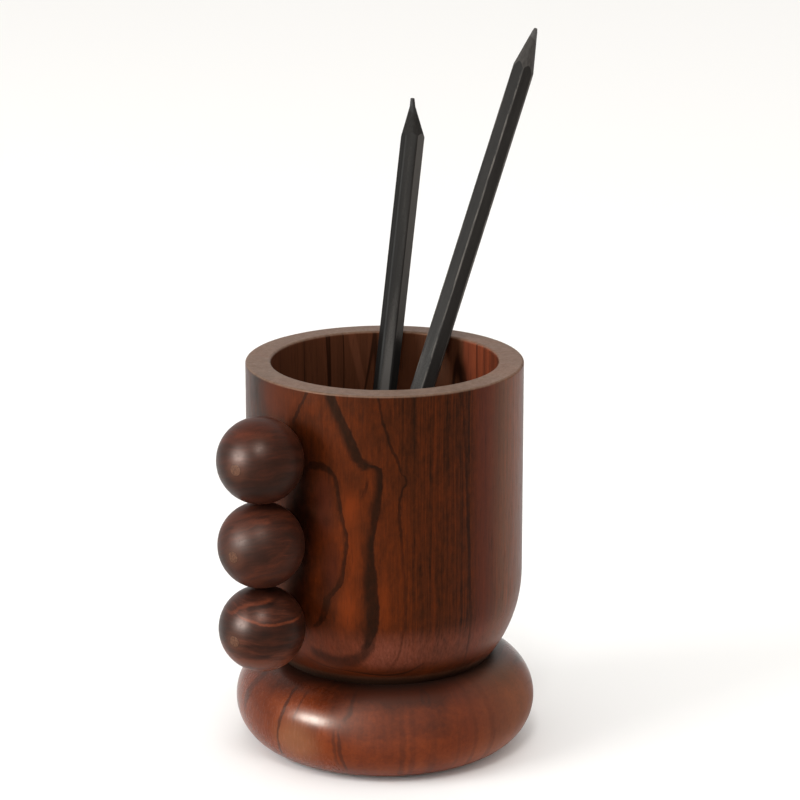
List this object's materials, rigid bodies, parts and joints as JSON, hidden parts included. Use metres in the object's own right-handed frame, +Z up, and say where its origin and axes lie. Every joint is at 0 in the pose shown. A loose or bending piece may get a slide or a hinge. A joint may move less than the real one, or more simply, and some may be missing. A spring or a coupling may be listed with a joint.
{
  "type": "pencil cup",
  "caption": "Turned hardwood desk cup on a bullnosed round base, with a column of wooden beads pegged to its side and sharpened black hexagonal pencils leaning in it.",
  "frame": {"origin": "centre of the base's underside, on the turning axis of the cup and base", "axes": "+Z up along the turning axis; the bead column stands on the -X side; the pencils lean towards +X"},
  "size_m": [0.1578, 0.092, 0.2092],
  "materials": {
    "cup_wood": "satin, reddish brown hardwood with dark figure",
    "base_wood": "satin, lighter reddish brown hardwood",
    "bead_wood": "polished, dark striped hardwood",
    "peg_wood": "plain pale wood",
    "pencil_coat": "matte charcoal lacquer over wood",
    "pencil_core": "graphite"
  },
  "bodies": {
    "holder": {"cup": "cup_wood", "base": "base_wood", "centre_dowel": "peg_wood", "bead_top": "bead_wood", "bead_middle": "bead_wood", "bead_bottom": "bead_wood", "peg_top": "peg_wood", "peg_middle": "peg_wood", "peg_bottom": "peg_wood"},
    "long_pencil": {"long_pencil_upper_slat": "pencil_coat", "long_pencil_lower_slat": "pencil_coat", "long_pencil_core": "pencil_core"},
    "short_pencil": {"short_pencil_upper_slat": "pencil_coat", "short_pencil_lower_slat": "pencil_coat", "short_pencil_core": "pencil_core"}
  },
  "joints": [
    {"name": "long_pencil_lift", "type": "slide", "parent": "holder", "child": "long_pencil", "axis": [0.5608, 0.0979, 0.8221], "range_m": [0, 0.104]},
    {"name": "short_pencil_lift", "type": "slide", "parent": "holder", "child": "short_pencil", "axis": [0.2926, 0.1094, 0.95], "range_m": [0, 0.09]}
  ]
}
